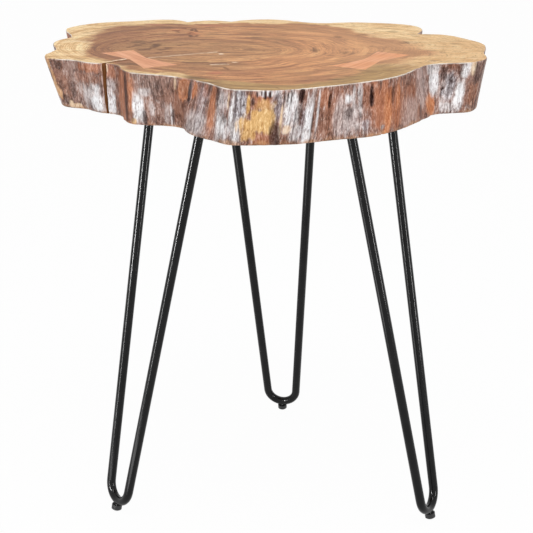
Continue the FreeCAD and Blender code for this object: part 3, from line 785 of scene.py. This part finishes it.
def sort_faces(mesh):
    """Tells the slab's face and underside from its natural edge, and leaves what the cutters made."""
    tilt = read(mesh.polygons, "normal", 3)[:, 2]
    height = read(mesh.polygons, "center", 3)[:, 2]
    old = read(mesh.polygons, "material_index", 1, np.int32)[:, 0]
    chosen = np.full(len(old), EDGE_SLOT, dtype=np.int32)
    chosen[(tilt > FLAT_TILT) & (height > SLAB_HIGH.z - SKIN)] = FACE_SLOT
    chosen[(tilt < -FLAT_TILT) & (height < SLAB_LOW.z + SKIN)] = UNDERSIDE_SLOT
    mesh.polygons.foreach_set("material_index", np.where(old > UNDERSIDE_SLOT, old, chosen))


# Colours

def srgb(red, green, blue):
    """A colour as picked on a screen, 0 to 255, in linear light."""
    def linear(level):
        share = level / 255
        return share / 12.92 if share <= 0.04045 else ((share + 0.055) / 1.055) ** 2.4
    return (linear(red), linear(green), linear(blue), 1.0)


def stops(*rows):
    """Stops of a colour ramp, from rows of a place on it and a screen colour."""
    return [(place, srgb(*levels)) for place, *levels in rows]


HEART_STOPS = stops((0.41, 116, 70, 42), (0.47, 182, 125, 84), (0.53, 219, 158, 109), (0.6, 238, 188, 136))
SAP_STOPS = stops((0.41, 214, 170, 115), (0.5, 246, 210, 157), (0.59, 255, 232, 184))
FRONT_SAP_STOPS = stops((0.41, 112, 80, 44), (0.5, 160, 124, 76), (0.59, 202, 164, 110))
KNOT_STOPS = stops((0.38, 112, 62, 38), (0.5, 186, 118, 78), (0.62, 218, 156, 110))
# The edge's ramp: its darkest stops are partly painted shade between fibres, its lightest painted glints
EDGE_STOPS = stops((0.39, 82, 52, 43), (0.45, 130, 88, 72), (0.5, 160, 120, 105), (0.54, 188, 154, 142),
                   (0.6, 222, 204, 198))
PATCH_STOPS = {
    "tan": stops((0.39, 106, 78, 68), (0.46, 139, 110, 99), (0.54, 162, 133, 122), (0.61, 190, 165, 156)),
    "umber": stops((0.39, 102, 62, 46), (0.46, 138, 91, 70), (0.54, 164, 117, 95), (0.61, 194, 154, 137)),
    "rust": stops((0.39, 124, 68, 44), (0.46, 160, 98, 68), (0.54, 187, 125, 95), (0.61, 212, 161, 136)),
    "orange": stops((0.39, 150, 80, 42), (0.47, 198, 122, 78), (0.55, 222, 150, 106), (0.61, 240, 188, 150)),
    "slate": stops((0.39, 52, 48, 54), (0.46, 126, 118, 124), (0.53, 182, 178, 188), (0.59, 236, 236, 241)),
    # The silver ramp rises to near white: painted glare of the lacquer over silvery fibres
    "silver_and_glare": stops((0.385, 128, 109, 105), (0.445, 204, 195, 195), (0.505, 243, 241, 242),
                    (0.575, 254, 254, 255)),
    "bare": stops((0.38, 158, 108, 60), (0.46, 204, 156, 98), (0.54, 228, 186, 126), (0.61, 246, 216, 166)),
    "cream": stops((0.38, 196, 150, 110), (0.48, 238, 206, 170), (0.58, 252, 232, 204)),
    "dark": stops((0.40, 20, 12, 10), (0.50, 56, 34, 30), (0.60, 118, 88, 82)),
}
CHECK_STOPS = stops((0.3, 64, 34, 12), (0.6, 128, 78, 36))
KEY_STOPS = stops((0.32, 200, 136, 99), (0.5, 224, 162, 123), (0.68, 236, 180, 143))
PAINT_STOPS = stops((0.35, 10, 10, 11), (0.7, 20, 20, 21))
STEEL_STOPS = stops((0.3, 150, 150, 150), (0.7, 196, 196, 192))
NYLON_INK = srgb(22, 22, 23)
RIGHT_SAP_INK = srgb(210, 164, 114)
BORDER_INK = srgb(124, 82, 58)
BLUSH_INK = srgb(186, 108, 84)
STAIN_INK = srgb(104, 74, 48)
DARK_SEAM_INK = srgb(92, 56, 40)
PALE_SEAM_INK = srgb(246, 222, 194)
DULL_INK = srgb(150, 112, 84)
FOOT_INK = srgb(200, 146, 98)
GROOVE_SHADE_INK = srgb(58, 32, 26)
CREVICE_SHADE_INK = srgb(54, 31, 25)
RIM_HIGHLIGHT_INK = srgb(246, 238, 226)

# Noises of the face: waves per metre across, along the depth and up, then detail, roughness, distortion
FACE_NOISES = {
    "warp": ((6, 6, 6), 2.0), "fine_warp": ((35, 35, 35), 2.0), "cloud": ((11, 14, 11), 3.0),
    "olive": ((17, 12, 17), 3.0), "straight": ((30, 330, 30), 4.0, 0.55, 0.7),
    "threads": ((24, 150, 24), 3.0, 0.55, 1.4), "blotch": ((34, 60, 34), 4.0, 0.65),
    "flecks": ((210, 420, 210), 3.0, 0.65), "wisps": ((40, 150, 40), 5.0, 0.7, 1.0),
    "rags": ((90, 90, 90), 3.0), "speckle": ((260, 260, 260), 3.0, 0.7), "pores": ((900, 900, 900), 2.0),
}

# Noises along the growth rings: waves from pith to rim, waves per metre along the rings, detail
RING_NOISES = {
    "broad": (17.0, 11.0, 4.0), "fine": (80.0, 24.0, 4.0), "hair": (230.0, 45.0, 4.0),
    "lines": (30.0, 3.0, 4.0), "veins": (60.0, 7.0, 4.0), "dashes": (190.0, 70.0, 3.0),
}
RING_SWAY_SHARES = {"warp": 0.06, "fine_warp": 0.006}
HEART_SWAY_SHARES = {"cloud": 0.05, "fine_warp": 0.045}
STREAK_SHARES = {"broad": 0.40, "fine": 0.35, "hair": 0.25}
PORE_SHARES = {"fine": 0.6, "pores": 0.4}

# Fades: what they follow, from where to where, and strength at both. Places on the face are in metres
STREAK_FADES = (("ring", 0.05, 0.40, 0.55, 1.0), ("across", -0.14, 0.07, 1.35, 0.62))
STRAIGHT_FADES = (("ring", 0.45, 0.10, 0.0, 0.75),)
RIGHT_SAP_FADES = (("across", 0.08, 0.22, 0.0, 0.5), ("depth", 0.14, 0.05))
HEART_SOFTNESS = (("across", 0.02, 0.16, 0.02, 0.07), ("across", -0.12, -0.17, 0.02, 0.06))
BORDER_FADES = (("border", 0.0, 1.5), ("border", 6.0, 2.0))
STAIN_FADES = (("fine", 0.35, 0.6, 0.75, 0.3),)
FRONT_SAP_STRENGTH = 0.9
BORDER_STRENGTH = 0.30
BLUSH_STRENGTH = 0.5
KNOT_STRENGTH = 0.8

# Washes of colour: what they follow, from where to where, strength at the end, screen colour
HEART_WASHES = (
    ("across", 0.0, 0.18, 0.45, 222, 174, 128),
    ("across", -0.04, -0.17, 0.40, 130, 80, 54),
    ("olive", 0.50, 0.72, 0.45, 158, 122, 82),
    ("cloud", 0.50, 0.75, 0.40, 156, 104, 78),
    ("ring", 0.50, 0.15, 0.40, 178, 136, 92),
)
SAP_WASHES = (
    ("blotch", 0.48, 0.66, 0.55, 200, 148, 94),
    ("flecks", 0.55, 0.70, 0.6, 172, 124, 74),
    ("blotch", 0.48, 0.32, 0.5, 254, 230, 190),
)
DASH_WASHES = (("dashes", 0.58, 0.72, 0.6, 150, 110, 66),)
WISP_WASHES = (("wisps", 0.54, 0.64, 0.5, 112, 74, 48),)
SPECKLE_WASHES = (("speckle", 0.52, 0.70, 0.30, 128, 88, 56),)
SCUFF_WASHES = (("scuff", 0.6, 0.8, 0.5, 62, 61, 60),)

# Dark lines of the heartwood: noise, half width of core and line, strength, fades, screen colour
HEART_LINES = (
    ("lines", 0.004, 0.018, 0.7, (("cloud", 0.35, 0.6, 0.2, 1.0), ("across", -0.03, 0.07, 1.0, 0.45)),
     124, 80, 54),
    ("veins", 0.003, 0.014, 0.7, (("across", 0.08, -0.08, 0.2, 1.0),), 112, 72, 48),
    ("threads", 0.006, 0.03, 0.6, (("across", 0.02, -0.08, 0.15, 1.0),), 104, 66, 46),
)

# The natural edge: noises as on the face, their shares in its streaks, and what lies over them
EDGE_NOISES = {
    "long_fibres": ((150, 150, 10), 4.0, 0.6), "fibres": ((520, 520, 150), 3.0, 0.6, 0.8),
    "crinkle": ((800, 800, 300), 2.0, 0.6, 0.6), "mottle": ((60, 60, 45), 4.0),
    "breaks": ((45, 45, 60), 2.0),
}
EDGE_SHARES = {"long_fibres": 0.20, "fibres": 0.42, "crinkle": 0.23, "mottle": 0.15}
FOOT_FADES = (("mottle", 0.35, 0.6, 0.0, 0.6),)
RIM_HIGHLIGHT_FADES = (("mottle", 0.3, 0.55, 0.35, 0.95),)
SMOOTH_SHARES = {"bare": 1.0, "cream": 1.0, "orange": 1.0, "rust": 1.0, "silver_and_glare": 0.6}
SMOOTH_REST_SHARE = 0.15
GROOVE_SHADE_SPAN = (0.04, 0.2, 0.55, 0.0)
CREVICES = (((150, 150, 30), 0.022), ((330, 330, 90), 0.03))
CREVICE_FADES = (("breaks", 0.42, 0.55),)
CREVICE_SHADE_STRENGTH = 0.5
CREVICE_DEPTH_SHARE = 0.35
EDGE_ROUGHNESS = (0.4, 0.6, 0.36, 0.52)

# The keys: node, name of its wood, turn of its grain, tint
KEY_TURN = math.radians(58)
KEYS = (
    ("left_bowtie_key", "left_key_wood", -KEY_TURN, srgb(208, 138, 100)),
    ("right_bowtie_key", "right_key_wood", KEY_TURN, srgb(226, 146, 86)),
)
LEGS = ("front_left", "back", "front_right")


# Materials

def follow_rings(shade):
    """Sets what the face's colours follow: places, growth rings, and streaks along the rings."""
    follow = shade.follow
    places = shade.node("ShaderNodeSeparateXYZ", {0: shade.place}).outputs
    follow["across"], follow["depth"] = places[0], places[1]
    follow["ring"] = shade.sway(shade.attribute("ring"), RING_SWAY_SHARES)
    for name, (waves, drift, detail) in RING_NOISES.items():
        parts = {0: shade.times(follow["ring"], waves), 1: shade.times(follow["across"], drift),
                 2: shade.times(follow["depth"], drift)}
        follow[name] = shade.noise(shade.node("ShaderNodeCombineXYZ", parts).outputs[0], detail=detail)
    streaks = shade.work("SUBTRACT", shade.blend(STREAK_SHARES), NOISE_MIDDLE)
    straight = shade.work("SUBTRACT", follow["straight"], NOISE_MIDDLE)
    streaks = shade.add(shade.fade(streaks, STREAK_FADES), shade.fade(straight, STRAIGHT_FADES))
    follow["streaks"] = shade.add(streaks, NOISE_MIDDLE)


def heartwood(shade):
    """Brown wood with streaks and dark lines."""
    colour = shade.wash(shade.ramp(shade.follow["streaks"], HEART_STOPS), HEART_WASHES)
    for name, core, rim, strength, fades, *levels in HEART_LINES:
        line = shade.line(shade.follow[name], core, rim, strength)
        colour = shade.mix(shade.fade(line, fades), colour, srgb(*levels))
    return colour


def sapwood(shade):
    """Pale wood with blotches, flecks and dashes, darker on the right and at the front."""
    streaks = shade.follow["streaks"]
    colour = shade.wash(shade.ramp(streaks, SAP_STOPS), SAP_WASHES)
    colour = shade.mix(shade.fade(1.0, RIGHT_SAP_FADES), colour, RIGHT_SAP_INK)
    front = shade.times(shade.attribute("front"), FRONT_SAP_STRENGTH)
    colour = shade.mix(front, colour, shade.ramp(streaks, FRONT_SAP_STOPS))
    return shade.wash(colour, DASH_WASHES)


def both_woods(shade):
    """Heartwood inside sapwood, with a dark line along their border."""
    inside = shade.sway(shade.work("SUBTRACT", 1.0, shade.attribute("heart")), HEART_SWAY_SHARES)
    softness = shade.strongest([shade.fade(1.0, (fade,)) for fade in HEART_SOFTNESS])
    shade.follow["border"] = shade.work("DIVIDE", inside, softness)
    heart = shade.span(shade.follow["border"], -1.0, 1.0)
    colour = shade.mix(heart, sapwood(shade), heartwood(shade))
    return shade.mix(shade.fade(BORDER_STRENGTH, BORDER_FADES), colour, BORDER_INK)


def face_marks(shade, colour):
    """Blushes, stains, knots and hairlines, where the photograph has them."""
    def spots(places):
        return shade.strongest([shade.spot(face_spot(u, v), wide * MM, deep * MM)
                                for u, v, wide, deep in places])

    colour = shade.mix(shade.times(spots(BLUSHES_PX), BLUSH_STRENGTH), colour, BLUSH_INK)
    colour = shade.mix(shade.fade(spots(STAINS_PX), STAIN_FADES), colour, STAIN_INK)
    knot = shade.ramp(shade.follow["rags"], KNOT_STOPS)
    colour = shade.mix(shade.times(spots(KNOTS_PX), KNOT_STRENGTH), colour, knot)
    for seams, ink in ((DARK_SEAMS_PX, DARK_SEAM_INK), (PALE_SEAMS_PX, PALE_SEAM_INK)):
        lines = [shade.seam(face_spot(*px[:2]), face_spot(*px[2:]), width * MM, strength)
                 for *px, width, strength in seams]
        colour = shade.mix(shade.strongest(lines), colour, ink)
    return colour


def face_wood(name, smoothest, roughest, dulling):
    """Oiled end grain: brown heartwood inside a pale band of sapwood."""
    shade = Shade(name)
    shade.follow_noises(FACE_NOISES)
    follow_rings(shade)
    colour = shade.wash(both_woods(shade), WISP_WASHES)
    colour = shade.mix(dulling, face_marks(shade, colour), DULL_INK)
    colour = shade.wash(colour, SPECKLE_WASHES)
    rough = shade.between(shade.follow["streaks"], smoothest, roughest)
    height = shade.blend(PORE_SHARES)
    return shade.finish(Base_Color=colour, Roughness=rough, Specular_IOR_Level=0.08,
                        Normal=shade.bump(height, strength=0.10, depth=0.4 * MM))


def crevice(shade, waves, width, core_share=0.3):
    """1 along thin wandering cracks that run with the fibres, broken here and there."""
    wave = shade.texture(waves, roughness=0.6, distortion=0.3)
    return shade.fade(shade.line(wave, width * core_share, width, 1.0), CREVICE_FADES)


def edge_wood():
    """The debarked, lacquered edge: mauve-brown fibres with patches of other colours, and painted glare,
    shade and highlights.
    """
    shade = Shade("natural_edge")
    shade.place = shade.node("ShaderNodeAttribute", attribute_name="fibre_place").outputs["Vector"]
    shade.follow_noises(EDGE_NOISES)
    streaks = shade.blend(EDGE_SHARES)
    colour = shade.ramp(streaks, EDGE_STOPS)
    patches = {kind: shade.attribute(kind) for kind in PATCH_STOPS}
    for kind, patch in patches.items():
        colour = shade.mix(patch, colour, shade.ramp(streaks, PATCH_STOPS[kind]))
    colour = shade.mix(shade.fade(shade.attribute("foot"), FOOT_FADES), colour, FOOT_INK)
    smooth_kinds = [shade.times(patches[kind], share) for kind, share in SMOOTH_SHARES.items()]
    open_wood = shade.span(shade.strongest(smooth_kinds), 0.0, 1.0, 1.0, SMOOTH_REST_SHARE)
    # Painted shade in the edge's fine grooves, left out on the smoother patches
    groove_shade = shade.times(shade.span(shade.attribute("groove_shade"), *GROOVE_SHADE_SPAN), open_wood)
    colour = shade.mix(groove_shade, colour, GROOVE_SHADE_INK)
    # Painted shade in thin crevices along the fibres; the crevices also sink in the bump
    crevices = shade.strongest([crevice(shade, waves, width) for waves, width in CREVICES])
    crevices = shade.times(crevices, open_wood)
    colour = shade.mix(shade.times(crevices, CREVICE_SHADE_STRENGTH), colour, CREVICE_SHADE_INK)
    # Painted highlight along the upper rim's rounded corner
    colour = shade.mix(shade.fade(shade.attribute("rim_highlight"), RIM_HIGHLIGHT_FADES), colour, RIM_HIGHLIGHT_INK)
    height = shade.work("SUBTRACT", streaks, shade.times(crevices, CREVICE_DEPTH_SHARE))
    return shade.finish(Base_Color=colour, Roughness=shade.span(streaks, *EDGE_ROUGHNESS),
                        Specular_IOR_Level=0.11, Normal=shade.bump(height, strength=1.0, depth=1.0 * MM))


def check_wood():
    """Raw wood inside the drying check."""
    shade = Shade("check_wood")
    fibres = shade.texture(waves=(700, 700, 60), detail=4.0)
    return shade.finish(Base_Color=shade.ramp(fibres, CHECK_STOPS), Roughness=0.8,
                        Normal=shade.bump(fibres, strength=0.4, depth=0.5 * MM))


def key_wood(name, turn, tint):
    """Salmon-coloured hardwood with straight grain along the key."""
    shade = Shade(name)
    cloud = shade.texture(waves=(40, 40, 40), detail=2.0)
    turned = {"Vector": shade.place, "Angle": -turn}
    shade.place = shade.node("ShaderNodeVectorRotate", turned, rotation_type="Z_AXIS").outputs[0]
    grain = shade.texture(waves=(22, 420, 420), detail=4.0, distortion=0.3)
    share = shade.between(cloud, least=0.1, most=0.45)
    colour = shade.mix(share, shade.ramp(grain, KEY_STOPS), tint)
    return shade.finish(Base_Color=colour, Roughness=0.48, Specular_IOR_Level=0.08,
                        Normal=shade.bump(grain, strength=0.08, depth=0.3 * MM))


def black_paint():
    """Gloss black paint with a faint orange-peel ripple."""
    shade = Shade("black_paint")
    ripples = shade.texture(waves=(420, 420, 420), detail=2.0)
    dust = shade.texture(waves=(60, 60, 60), detail=4.0)
    rough = shade.between(dust, least=0.14, most=0.20)
    return shade.finish(Base_Color=shade.ramp(dust, PAINT_STOPS), Roughness=rough, Specular_IOR_Level=0.20,
                        Normal=shade.bump(ripples, strength=0.014, depth=0.2 * MM))


def screw_steel():
    """Zinc-plated steel with fine turned marks."""
    shade = Shade("screw_steel")
    marks = shade.texture(waves=(900, 900, 2600))
    rough = shade.between(marks, least=0.26, most=0.42)
    return shade.finish(Base_Color=shade.ramp(marks, STEEL_STOPS), Metallic=1.0, Roughness=rough,
                        Normal=shade.bump(marks, strength=0.1, depth=0.1 * MM))


def pad_nylon():
    """Moulded black nylon, scuffed to grey."""
    shade = Shade("pad_nylon")
    grain = shade.texture(waves=(1400, 1400, 1400))
    shade.follow["scuff"] = shade.texture(waves=(220, 220, 220), detail=5.0)
    rough = shade.between(shade.follow["scuff"], least=0.38, most=0.55)
    return shade.finish(Base_Color=shade.wash(NYLON_INK, SCUFF_WASHES), Roughness=rough,
                        Normal=shade.bump(grain, strength=0.15, depth=0.1 * MM))


# The dressed object

def dress_slab():
    edge = edge_rings()
    slab = lofted("live_edge_slab", face_rings(edge[0])[::-1] + edge + face_rings(edge[-1]))
    face = face_wood("slab_face", smoothest=0.45, roughest=0.57, dulling=0.0)
    underside = face_wood("slab_underside", smoothest=0.60, roughest=0.72, dulling=0.35)
    for material in (face, edge_wood(), underside):
        slab.data.materials.append(material)
    inside = check_wood()
    cutters = [check_cutter()] + [pocket_cutter(node) for node, *wood in KEYS]
    for cutter in cutters:
        cutter.data.materials.append(inside)
    cut_away(slab, cutters)
    mark_slab(slab)
    sort_faces(slab.data)
    slab.data.polygons.foreach_set("use_smooth", np.ones(len(slab.data.polygons), dtype=bool))
    slab.data.set_sharp_from_angle(angle=SHARP_TURN)
    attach(slab, "table")
    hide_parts("live_edge_top")


def paint(node, material):
    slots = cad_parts[node].data.materials
    slots.clear()
    slots.append(material)


def dress_hardware():
    for node, *wood in KEYS:
        paint(node, key_wood(*wood))
    black, steel, nylon = black_paint(), screw_steel(), pad_nylon()
    finishes = {"hairpin": black, "weld_beads": black, "plate": black, "plate_screws": steel,
                "glide_stud": steel, "glide_pad": nylon}
    for leg in LEGS:
        for part, material in finishes.items():
            paint(f"{leg}_{part}", material)


# Floor and light

def add_floor():
    """A pale floor that looks white and keeps the object's shadow faintly."""
    bpy.ops.mesh.primitive_plane_add(size=FLOOR_SIZE)
    floor = bpy.context.object
    floor.name = "floor"
    shade = Shade("floor")
    share = shade.times(shade.seen_rays(), FLOOR_WHITE_SHARE)
    white = shade.node("ShaderNodeEmission", {"Color": WHITE}).outputs[0]
    both = shade.node("ShaderNodeMixShader", {0: share, 1: shade.shader.outputs[0], 2: white}).outputs[0]
    shade.feed(shade.tree.nodes["Material Output"].inputs["Surface"], both)
    floor.data.materials.append(shade.finish(Base_Color=FLOOR_GREY, Roughness=0.9))


def add_world():
    """An even light from all round that looks white."""
    world = bpy.data.worlds.new("studio")
    bpy.context.scene.world = world
    nodes = Nodes(world)
    inputs = {"Value": nodes.seen_rays(), "To Min": WORLD_LEVEL, "To Max": 1.0}
    background = nodes.tree.nodes["Background"]
    nodes.feed(background.inputs["Strength"], nodes.node("ShaderNodeMapRange", inputs).outputs["Result"])
    nodes.feed(background.inputs["Color"], WHITE)


def add_lamp(name, place, target, width, height, power, hidden_from):
    data = bpy.data.lights.new(name, "AREA")
    data.shape = "RECTANGLE"
    data.size = width
    data.size_y = height
    data.energy = power
    lamp = bpy.data.objects.new(name, data)
    bpy.context.collection.objects.link(lamp)
    aim = Vector(target) - Vector(place)
    lamp.matrix_world = Matrix.Translation(place) @ aim.to_track_quat("-Z", "Y").to_matrix().to_4x4()
    for rays in hidden_from:
        setattr(lamp, f"visible_{rays}", False)


add_camera()
dress_slab()
dress_hardware()
add_floor()
add_world()
for name, settings in LAMPS.items():
    add_lamp(name, *settings)
bpy.context.scene.view_settings.view_transform = "Standard"
